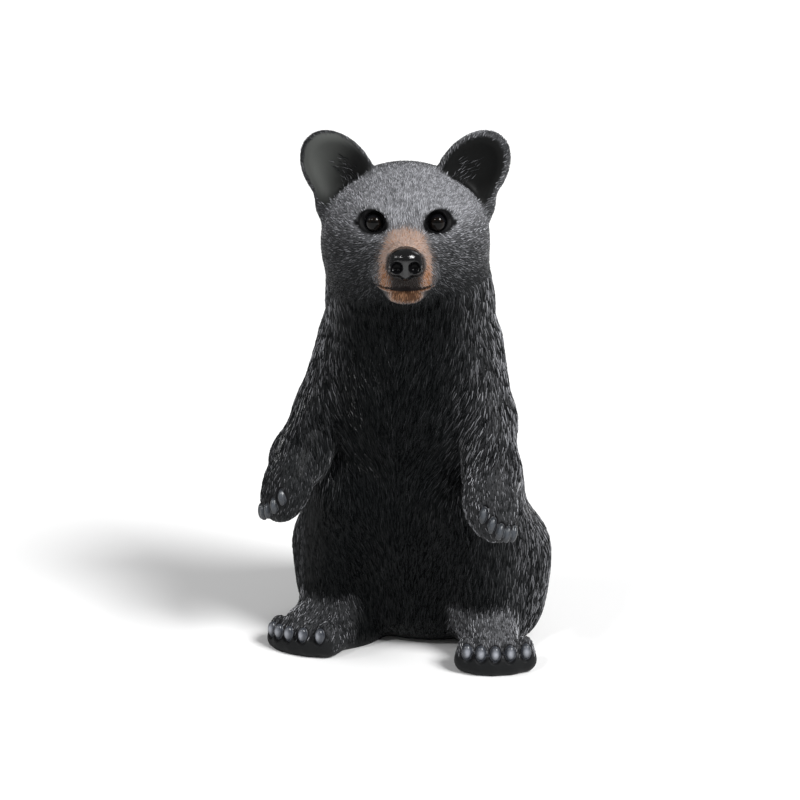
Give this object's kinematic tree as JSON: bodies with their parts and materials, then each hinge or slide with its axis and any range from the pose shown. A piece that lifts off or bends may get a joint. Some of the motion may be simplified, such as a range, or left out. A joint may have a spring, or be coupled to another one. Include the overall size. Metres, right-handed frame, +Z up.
{
  "type": "resin bear statue",
  "caption": "Cast resin statue of a young black bear sitting upright, arms hanging free and head turned to one side, with set-in glass eyes and carved fur.",
  "frame": {"origin": "middle of the bounding box at the flat underside", "axes": "+Z up through the head, the belly looks along -Y, the bear's left hand is at +X"},
  "size_m": [0.266, 0.2626, 0.4999],
  "materials": {
    "cast_resin": "painted cast resin, satin black with grey dry-brushed fur, tan muzzle and gloss black nose",
    "eye_glass": "gloss dark brown to black"
  },
  "bodies": {
    "root": {"bear": "cast_resin", "eye_left": "eye_glass", "eye_right": "eye_glass"}
  },
  "joints": []
}
